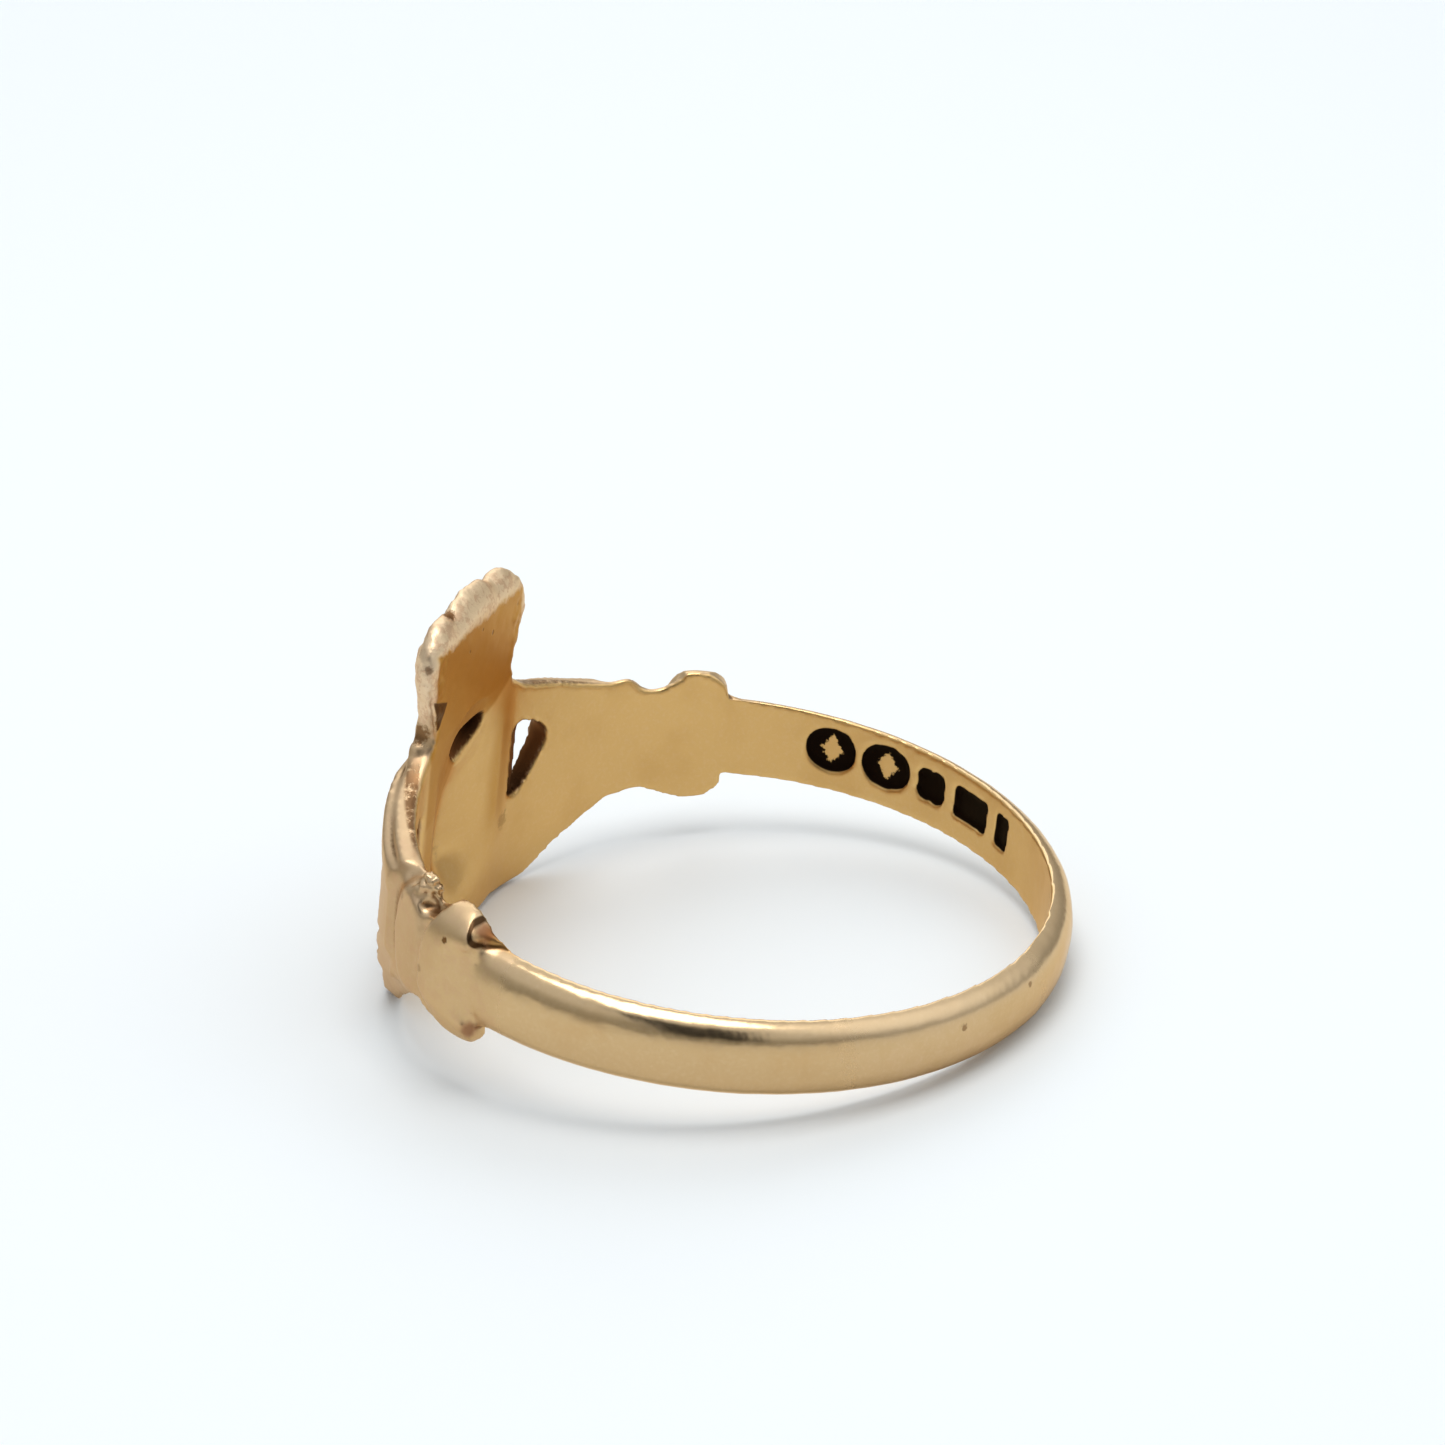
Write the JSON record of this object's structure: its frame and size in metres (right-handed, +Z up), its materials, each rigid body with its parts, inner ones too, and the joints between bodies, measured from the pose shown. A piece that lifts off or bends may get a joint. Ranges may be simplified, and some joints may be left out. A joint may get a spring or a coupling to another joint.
{
  "type": "claddagh ring",
  "caption": "Gold claddagh ring lying on its side: hands hold a crowned heart between domed cuffs, with a plain tapering band and pierced gaps beside the heart.",
  "frame": {"origin": "centre of the bounding box in plan, on the floor that the ring lies on", "axes": "+Z up; -Y towards the ring's head, whose crown points up; +X across the head, to the wearer's side that the picture shows; the finger hole's axis leans about 10 degrees from +Z towards +Y"},
  "size_m": [0.0194, 0.0194, 0.011],
  "materials": {
    "gold": "worn satin yellow gold with a slight pink cast and brown tarnish in the recesses"
  },
  "bodies": {
    "root": {"claddagh_ring": "gold"}
  },
  "joints": []
}
